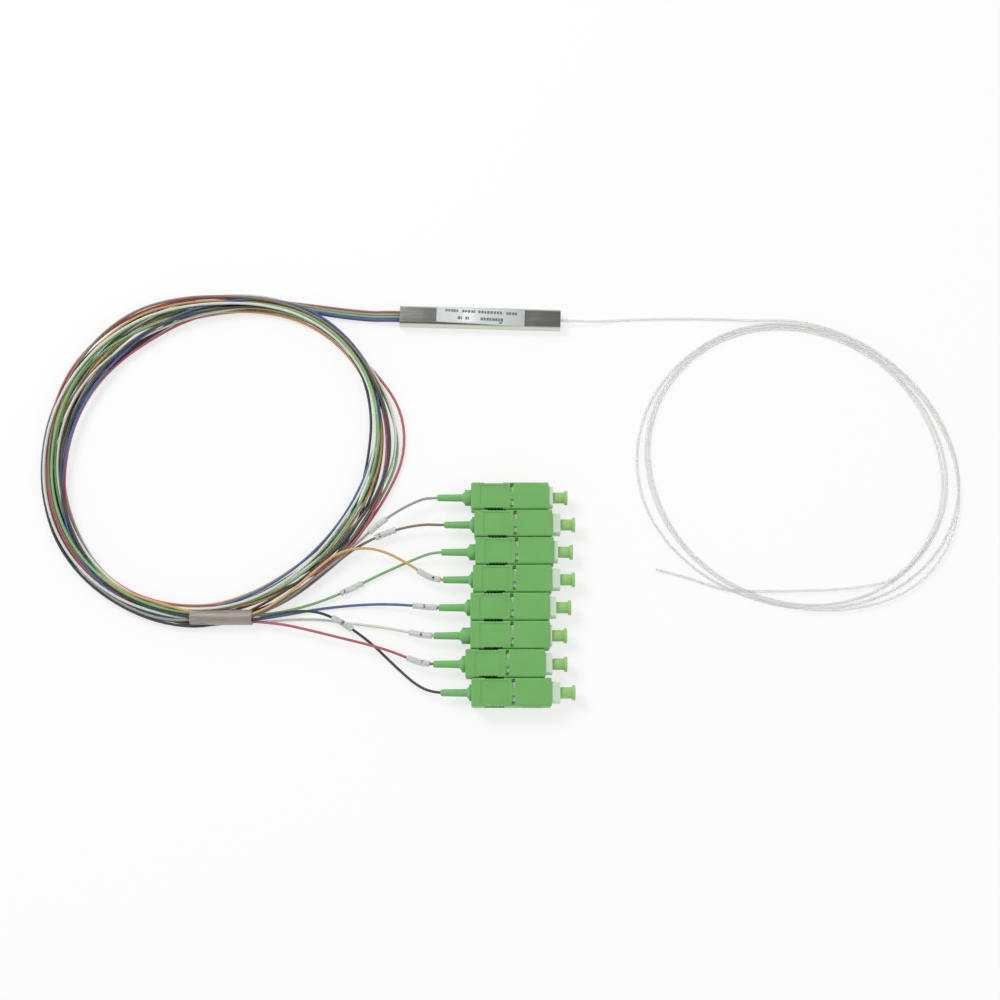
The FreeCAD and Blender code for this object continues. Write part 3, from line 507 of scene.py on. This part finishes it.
def band_radii(number):
    """The radius that a tube is drawn to at each of its points round the coil."""
    steps = SLEEVE_STEPS[-1] + (2 if number in LATE_TUBES else 1)
    turns = zip(ACROSS[number - 1].split(), ACROSS_SHIFTS)
    places = [int(digit) + shift for digits, shift in turns for digit in digits]
    places += [places[-1]] * 3
    radii = []
    for step in range(steps):
        angle = coil_angle(step)
        inside, outside = (smooth_between(edge, angle / EDGE_STEP) for edge in (BAND_INSIDE, BAND_OUTSIDE))
        share = smooth_between(places, (angle - COIL_START) / EDGE_STEP) / ACROSS_WIDTH
        radius = inside + TUBE / 2 + (outside - inside - TUBE) * share
        for stray, amount, middle, span in STRAYS:
            if stray == number and abs(angle - middle) < span:
                radius += amount * math.cos(math.pi / 2 * (angle - middle) / span) ** 2
        radii.append(radius)
    return np.array(radii)


def at_sleeve(step, near=0.0, up=0.0):
    """The radius and height of a place in the clear sleeve, this far from its middle."""
    return (SLEEVE_LINE + near - COIL_CENTRE[1]) / math.sin(math.radians(coil_angle(step))), SLEEVE_HEIGHT + up


def in_sleeve(number, step):
    """A tube's radius and height where it passes through the clear sleeve."""
    if SLEEVE_PLACES[number] is None:
        return at_sleeve(step)
    direction = math.radians(SLEEVE_PLACES[number])
    return at_sleeve(step, SLEEVE_RING * math.cos(direction), SLEEVE_RING * math.sin(direction))


def lay_output_tubes():
    """The eight tubes from the module through the coil and the sleeve to the plugs."""
    wanted = [band_radii(number) for number in PLUGS]
    held = {}
    for number in PLUGS:
        held[number - 1, 0] = lead(number)[1]
        for step in SLEEVE_STEPS:
            held[number - 1, step] = in_sleeve(number, step)
        if number in LATE_TUBES:
            held[number - 1, SLEEVE_STEPS[-1] + 1] = LATE_TUBES[number]
    blocks = {step % TURN_POINTS: (*at_sleeve(step), SLEEVE_RADIUS + TUBE / 2) for step in SLEEVE_STEPS}
    laid = settle(wanted, held, blocks)
    tubes = []
    for number in PLUGS:
        start = lead(number)[0]
        coil = round_the_coil(COIL_CENTRE, math.radians(COIL_START), 1, laid[number - 1])
        points = start + coil + list(TAIL_ROUTES[number - 1]) + into_boot(number)
        piece = lay_tube(f"output_tube_{number}", points, tube_finishes[number - 1])
        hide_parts("output_leads", "output_coil", "output_tails")
        tubes.append(piece)
    return tubes


output_tubes = lay_output_tubes()


# ---- the input tube -----------------------------------------------------------------------------------------------

# The input tube's way to its coil, and its way from there to the bare end.
INPUT_START = ((41.0, -0.7, 0.9), (54.0, 0.2, 0.5), (68.0, 0.4, 0.5), (82.0, 0.3, 0.6))
INPUT_END = ((83.0, -94.9, 0.9), (75.2, -92.4, 0.6), (66.6, -89.4, 0.5), (58.1, -87.2, 0.5))
INPUT_CENTRE = (106.6, -50.2)
INPUT_ANGLE = 105
# Where the coil starts and ends, as a radius and a height.
INPUT_FIRST, INPUT_LAST = (51.0, 1.1), (49.9, 1.2)
# The radius of each turn every thirty degrees, clockwise from the angle that the coil starts at. The last three only
# steer its ends.
INPUT_TURNS = (
    (50.6, 48.4, 48.0, 51.0, 54.6, 53.6, 50.8, 49.4, 51.2, 53.8, 53.4, 51.2),
    (49.6, 47.6, 47.0, 49.8, 54.6, 56.4, 52.0, 48.9, 49.0, 50.2, 51.3, 50.6),
    (48.9, 46.8, 46.2, 47.8, 50.4, 50.4, 49.4, 48.2, 48.1, 49.0, 50.3, 49.8),
    (48.0, 46.0, 45.4, 46.4, 49.0, 49.7, 49.0, 49.2, 51.0),
)


def lay_input_tube():
    """The white tube from the module round its own coil to its bare end."""
    radii = [radius for turn in INPUT_TURNS for radius in turn]
    steps = 2 * (len(radii) - 3)
    wanted = np.array([smooth_between(radii, step / 2) for step in range(steps)])
    laid = settle([wanted], {(0, 0): INPUT_FIRST, (0, steps - 1): INPUT_LAST}, {})[0]
    coil = round_the_coil(INPUT_CENTRE, math.radians(INPUT_ANGLE), -1, laid)
    leaving = [in_module(MODULE_END + along, 0, MODULE_MIDDLE) for along in (0, STRAIGHT_LEAD)]
    points = leaving + list(INPUT_START) + coil + list(INPUT_END)
    piece = lay_tube("input_tube", points, clear_tubing)
    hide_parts("input_lead", "input_coil", "input_tail")


lay_input_tube()


# ---- the module's label -------------------------------------------------------------------------------------------

# The module's steel tube.
TUBE_HALF_WIDTH = 3.5
TUBE_HEIGHT = 4.0
TUBE_CORNER = 1.0
# The label, from where to where along the module and across it.
LABEL_SHEET = (-14.9, 15.2, -2.75, 3.6)
LABEL_LIFT, LABEL_THICKNESS = 0.02, 0.07
PRINT_LIFT, PRINT_THICKNESS = 0.025, 0.015
# A sheet that is bent over the module has an edge at least this often across it.
BEND_STEP = 0.25
# The label is stuck on a little askew: this much nearer for each millimetre along the module.
LABEL_SLANT = 0.03
# Each printed row: how far across the label it lies and how tall it is, then its marks as (start, end).
PRINT_ROWS = (
    (1.6, 0.95, ((-11.9, -11.2), (-10.9, -10.2), (-9.9, -9.3), (-9.1, -8.4), (-8.1, -7.6), (-6.2, -5.5),
                  (-5.3, -4.6), (-4.3, -3.4), (-3.1, -2.5), (-2.3, -1.7), (-0.7, 0.1), (0.4, 1.1), (1.4, 2.1),
                  (2.4, 3.2), (3.5, 4.3), (4.6, 5.4), (5.7, 6.4), (6.7, 7.4), (9.0, 9.7), (9.9, 10.6),
                  (10.9, 11.7), (11.9, 12.6))),
    (-0.9, 1.05, ((-7.6, -6.8), (-6.6, -6.2), (-5.0, -4.4), (-4.2, -3.8), (0.2, 1.0), (1.2, 1.9), (2.2, 3.0),
                  (3.2, 3.9), (4.2, 5.0), (5.2, 6.0), (6.2, 6.8), (7.0, 7.9))),
    (-1.95, 0.6, ((6.6, 7.6),)),
)


def finished(name, bm, finish, body="splitter"):
    """The mesh as a piece in its place, riding on a body."""
    mesh = bpy.data.meshes.new(name)
    bm.to_mesh(mesh)
    bm.free()
    for face in mesh.polygons:
        face.use_smooth = True
    mesh.materials.append(finish)
    piece = bpy.data.objects.new(name, mesh)
    bpy.context.scene.collection.objects.link(piece)
    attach(piece, body)
    return piece


def over_the_tube(across, lift):
    """A place on the module's upper skin, this far across from its middle line and this far off the metal.

    Beyond the flat top the skin turns down round the corner."""
    flat = TUBE_HALF_WIDTH - TUBE_CORNER
    if abs(across) <= flat:
        return across, TUBE_HEIGHT + lift
    side = math.copysign(1, across)
    turned = min((abs(across) - flat) / TUBE_CORNER, math.pi / 2)
    past = abs(across) - flat - turned * TUBE_CORNER
    reach = TUBE_CORNER + lift
    return side * (flat + reach * math.sin(turned)), TUBE_HEIGHT - TUBE_CORNER + reach * math.cos(turned) - past


def bent_over_the_tube(sheets, lift, thickness):
    """Thin sheets on the module's skin, each between two places along it and two across it."""
    bm = bmesh.new()
    for start, end, low, high in sheets:
        middle = Matrix.Translation(((start + end) / 2, (low + high) / 2, lift))
        size = Matrix.Diagonal(((end - start) / 2, (high - low) / 2, 1, 1))
        steps = max(2, int((high - low) / BEND_STEP) + 1)
        bmesh.ops.create_grid(bm, x_segments=1, y_segments=steps, size=1, matrix=middle @ size)
    grown = bmesh.ops.extrude_face_region(bm, geom=bm.faces[:])["geom"]
    tops = [part for part in grown if isinstance(part, bmesh.types.BMVert)]
    bmesh.ops.translate(bm, verts=tops, vec=(0, 0, thickness))
    for vertex in bm.verts:
        along, across, height = vertex.co
        across, up = over_the_tube(across - LABEL_SLANT * along, height)
        vertex.co = Vector(in_module(along, across, up)) * MM
    bmesh.ops.recalc_face_normals(bm, faces=bm.faces[:])
    return bm


def make_label():
    """The label that turns down over the module's edges, and the marks printed on it."""
    label = finished("label", bent_over_the_tube([LABEL_SHEET], LABEL_LIFT, LABEL_THICKNESS), label_white)
    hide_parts("module_label")
    marks = [(start, end, across - tall / 2, across + tall / 2)
             for across, tall, row in PRINT_ROWS for start, end in row]
    print_bm = bent_over_the_tube(marks, PRINT_LIFT + LABEL_THICKNESS, PRINT_THICKNESS)
    finished("label_print", print_bm, print_grey)


label_white = plastic("label white", (222, 228, 226), gloss=0.32, edge_highlight=0.0, shade_change=0.03)
print_grey = plastic("print grey", (112, 118, 122), gloss=0.4, edge_highlight=0.0, shade_change=0.3)
make_label()


# ---- the numbered markers on the tubes ----------------------------------------------------------------------------

MARKER_LENGTH = 8.2
MARKER_OUTSIDE = 1.0
MARKER_INSIDE = 0.56
MARKER_SIDES = 20
LINE_STEP = 0.5
NUMBER_SIZE, NUMBER_SPREAD, NUMBER_LIFT = 1.9, 0.03, 0.02
# How far each marker's near end lies from the end of its tube, along the tube.
MARKER_BACK = (19.9, 17.5, 29.9, 2.7, 2.2, 2.2, 2.9, 38.4)
# Where along each marker its number is printed, from its far end.
NUMBER_AT = (0.5, 0.3, 0.2, 0.72, 0.5, 0.55, 0.72, 0.5)


def line_of(piece):
    """The points of a tube's own middle line, in millimetres."""
    bare = piece.data.copy()
    bare.bevel_depth = 0
    bare.use_fill_caps = False
    bare.resolution_u = 16
    carrier = bpy.data.objects.new("line", bare)
    mesh = bpy.data.meshes.new_from_object(carrier)
    points = [Vector(vertex.co) / MM for vertex in mesh.vertices]
    bpy.data.objects.remove(carrier)
    bpy.data.meshes.remove(mesh)
    return points


def stretch_from_end(points, back, length):
    """The part of a line that starts a distance back from its end, in short even steps."""
    kept, passed = [], 0.0
    for ahead, point in zip(points[::-1], points[-2::-1]):
        run = (ahead - point).length
        spots = max(1, int(run / LINE_STEP))
        for spot in range(spots):
            here = passed + run * spot / spots
            if back <= here <= back + length:
                kept.append(ahead.lerp(point, spot / spots))
        passed += run
        if passed > back + length:
            break
    return kept


def axes_along(points):
    """At each point of a line, axes there: x level across the line, y up from it and z ahead along it."""
    row = []
    for index, point in enumerate(points):
        ahead = (points[min(index + 1, len(points) - 1)] - points[max(index - 1, 0)]).normalized()
        across = Vector((0, 0, 1)).cross(ahead).normalized()
        axes = Matrix((across, ahead.cross(across), ahead)).transposed().to_4x4()
        axes.translation = point
        row.append(axes)
    return row


def sleeve_along(row, outside, inside, sides):
    """A sleeve with an open bore along a row of axes, drawn out from a flat ring."""
    bm = bmesh.new()
    for radius in (outside, inside):
        bmesh.ops.create_circle(bm, segments=sides, radius=radius, matrix=row[0])
    bmesh.ops.bridge_loops(bm, edges=bm.edges[:])
    end = bm.edges[:] + bm.faces[:]
    for here, beyond in zip(row, row[1:]):
        end = bmesh.ops.extrude_face_region(bm, geom=end)["geom"]
        corners = [part for part in end if isinstance(part, bmesh.types.BMVert)]
        bmesh.ops.transform(bm, matrix=beyond @ here.inverted(), verts=corners)
    bmesh.ops.scale(bm, vec=(MM, MM, MM), verts=bm.verts[:])
    bmesh.ops.recalc_face_normals(bm, faces=bm.faces[:])
    return bm


def number_mesh(number):
    """A numeral as a flat mesh, in millimetres about its own middle."""
    text = bpy.data.curves.new(f"numeral_{number}", "FONT")
    text.body = str(number)
    text.size = NUMBER_SIZE
    text.align_x, text.align_y = "CENTER", "CENTER"
    text.offset = NUMBER_SPREAD
    carrier = bpy.data.objects.new("numeral", text)
    mesh = bpy.data.meshes.new_from_object(carrier)
    bpy.data.objects.remove(carrier)
    return mesh


def wrap_number(number, row):
    """A numeral printed round the top of a marker, read along it."""
    mesh = number_mesh(number)
    axes = row[int(NUMBER_AT[number - 1] * (len(row) - 1))]
    radius = MARKER_OUTSIDE + NUMBER_LIFT
    bm = bmesh.new()
    bm.from_mesh(mesh)
    bpy.data.meshes.remove(mesh)
    bmesh.ops.subdivide_edges(bm, edges=bm.edges, cuts=1)
    bmesh.ops.triangulate(bm, faces=bm.faces)
    for vertex in bm.verts:
        turned = vertex.co.y / radius
        spot = Vector((radius * math.sin(turned), radius * math.cos(turned), vertex.co.x))
        vertex.co = axes @ spot * MM
    return finished(f"marker_number_{number}", bm, print_dark)


def make_markers():
    """A clear sleeve on each output tube, with the number of its port."""
    for number, tube, back in zip(PLUGS, output_tubes, MARKER_BACK):
        row = axes_along(stretch_from_end(line_of(tube), back, MARKER_LENGTH)[::-1])
        sleeve = sleeve_along(row, MARKER_OUTSIDE, MARKER_INSIDE, MARKER_SIDES)
        marker = finished(f"marker_{number}", sleeve, marker_clear)
        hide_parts("marker_sleeves")
        wrap_number(number, row)


marker_clear = clear_plastic("clear marker", (240, 244, 240), haze=0.35, clearness=0.4)
print_dark = plastic("print dark", (70, 74, 76), gloss=0.45, edge_highlight=0.0)
make_markers()


# ---- the springs behind the ferrules ------------------------------------------------------------------------------

# Where each spring lies, back from the front of its plug's frame.
SPRING_BACK, SPRING_FRONT = 15.0, 9.07
SPRING_RADIUS = 1.78
SPRING_WIRE = 0.48
SPRING_TURNS = 6
TURN_STEPS = 20
WIRE_SIDES = 8


def make_spring(number):
    """A coil spring in a plug, its end turns closed up, built at one fixed length."""
    front, axis_y = plug_place(number)
    back, length = front - SPRING_BACK, SPRING_BACK - SPRING_FRONT
    bm = bmesh.new()
    start = Matrix.Translation((back + SPRING_WIRE / 2, axis_y + SPRING_RADIUS, PLUG_AXIS))
    bmesh.ops.create_circle(bm, cap_ends=True, segments=WIRE_SIDES, radius=SPRING_WIRE / 2, matrix=start)
    wound = bm.verts[:] + bm.edges[:] + bm.faces[:]
    for turns, rise in ((1, SPRING_WIRE), (SPRING_TURNS - 2, length - 3 * SPRING_WIRE), (1, SPRING_WIRE)):
        steps = turns * TURN_STEPS
        wound = bmesh.ops.spin(bm, geom=wound, cent=(back, axis_y, PLUG_AXIS), axis=(1, 0, 0),
                               dvec=(rise / steps, 0, 0), angle=2 * math.pi * turns, steps=steps)["geom_last"]
    bmesh.ops.scale(bm, vec=(MM, MM, MM), verts=bm.verts[:])
    bmesh.ops.recalc_face_normals(bm, faces=bm.faces[:])
    spring = finished(f"spring_{number}", bm, spring_wire)
    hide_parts("ferrule_springs")
    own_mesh(spring)


spring_wire = metal("spring wire", (176, 176, 174), gloss=0.25, depth=0.1)
for number in PLUGS:
    make_spring(number)


# ---- finishes of the rigid pieces ---------------------------------------------------------------------------------

grip_green = plastic("housing green", (120, 185, 104), gloss=0.42, glow=0.1)
boot_green = plastic("boot green", (124, 190, 114), gloss=0.55, edge_highlight=0.2)
cap_green = plastic("cap green", (162, 211, 128), gloss=0.3, glow=0.2)
frame_white = plastic("frame white", (216, 236, 212), gloss=0.35, edge_highlight=0.0)
ceramic = plastic("ceramic white", (240, 240, 236), gloss=0.15, edge_highlight=0.0, bump=0.0)
potting = plastic("potting", (62, 62, 60), gloss=0.5, edge_highlight=0.0)
tube_steel = metal("brushed steel", (211, 213, 203), gloss=0.21, depth=0.14, bump=0.02)
plated = metal("plated metal", (196, 194, 188), gloss=0.22, depth=0.12)
block_glass = clear_plastic("block glass", (228, 234, 232), haze=0.08, clearness=0.9)
ribbon_skin = plastic("ribbon skin", (206, 208, 204), gloss=0.35, edge_highlight=0.0)
sleeve_clear = clear_plastic("frosted sleeve", (226, 220, 214), haze=0.3, clearness=0.72)
FINISHES = {
    "grip": grip_green, "boot": boot_green, "dust_cap": cap_green, "plug_frame": frame_white, "ferrule": ceramic,
    "module_tube": tube_steel, "input_seal": potting, "output_seal": potting, "waveguide_chip": block_glass,
    "input_fibre_block": block_glass, "output_fibre_block": block_glass, "output_ribbon": ribbon_skin,
    "input_fibre": ribbon_skin, "rear_bodies": plated, "coil_sleeve": sleeve_clear,
}
for name, node in nodes.items():
    finish = FINISHES.get(name) or FINISHES.get(name.rsplit("_", 1)[0])
    if finish:
        for slot in node.material_slots:
            slot.material = finish


# ---- the ground and the light -------------------------------------------------------------------------------------


GROUND_HALF_WIDTH = 2.0
LAMPS_AIM_AT = Vector((0, -0.06, 0))


def make_ground():
    """A white ground that keeps the pieces' shadows and is mirrored in what shines."""
    bm = bmesh.new()
    bmesh.ops.create_grid(bm, x_segments=1, y_segments=1, size=GROUND_HALF_WIDTH)
    mesh = bpy.data.meshes.new("ground")
    bm.to_mesh(mesh)
    bm.free()
    ground = bpy.data.objects.new("ground", mesh)
    bpy.context.scene.collection.objects.link(ground)
    material, tree, shader, _ = finish_named("white ground")
    tree.nodes.remove(shader)
    matt = add_node(tree, "ShaderNodeBsdfDiffuse", Color=(0.8, 0.8, 0.8, 1))
    shadow = add_node(tree, "ShaderNodeBsdfDiffuse", Color=(0.32, 0.32, 0.32, 1))
    white = add_node(tree, "ShaderNodeEmission", Color=(1, 1, 1, 1), Strength=0.7)
    lit = add_node(tree, "ShaderNodeAddShader", i0=shadow.outputs[0], i1=white.outputs[0])
    ray = add_node(tree, "ShaderNodeLightPath")
    seen = add_node(tree, "ShaderNodeMath", operation="MAXIMUM", i0=ray.outputs["Is Camera Ray"],
                    i1=ray.outputs["Is Glossy Ray"])
    seen = add_node(tree, "ShaderNodeMath", operation="MAXIMUM", i0=seen.outputs[0],
                    i1=ray.outputs["Is Transmission Ray"])
    mixed = add_node(tree, "ShaderNodeMixShader", Fac=seen.outputs[0], i1=matt.outputs[0], i2=lit.outputs[0])
    wire(tree, mixed.outputs[0], tree.nodes["Material Output"].inputs["Surface"])
    mesh.materials.append(material)


def make_world():
    """A bright studio all round; where it is seen directly or through something clear, it is plain white."""
    world = bpy.data.worlds.new("studio")
    bpy.context.scene.world = world
    world.use_nodes = True
    tree = world.node_tree
    ray = add_node(tree, "ShaderNodeLightPath")
    seen = add_node(tree, "ShaderNodeMath", operation="MAXIMUM", i0=ray.outputs["Is Camera Ray"],
                    i1=ray.outputs["Is Transmission Ray"])
    # A dark ceiling over a bright horizon lights the pieces and is what the shiny ones mirror.
    place = add_node(tree, "ShaderNodeTexCoord").outputs["Generated"]
    height = add_node(tree, "ShaderNodeSeparateXYZ", Vector=place).outputs["Z"]
    ceiling = add_node(tree, "ShaderNodeMapRange", i0=height, i1=0.2, i2=0.92, i3=1.0, i4=0.12)
    strength = add_node(tree, "ShaderNodeMapRange", i0=seen.outputs[0], i1=0.0, i2=1.0, i3=ceiling.outputs[0],
                        i4=1.0)
    back = tree.nodes["Background"]
    back.inputs["Color"].default_value = (1, 1, 1, 1)
    wire(tree, strength.outputs[0], back.inputs["Strength"])


def make_lamp(name, place, size, power):
    """A square soft lamp that points at the pieces."""
    lamp = bpy.data.lights.new(name, "AREA")
    lamp.shape = "SQUARE"
    lamp.size = size
    lamp.energy = power
    piece = bpy.data.objects.new(name, lamp)
    piece.location = place
    piece.rotation_euler = (LAMPS_AIM_AT - Vector(place)).to_track_quat("-Z", "Y").to_euler()
    bpy.context.scene.collection.objects.link(piece)


make_ground()
make_world()
make_lamp("key", (-0.55, 0.45, 0.9), 0.5, 6.3)
make_lamp("fill", (0.6, -0.3, 0.9), 0.7, 2.1)

bpy.context.scene.view_settings.view_transform = "Standard"
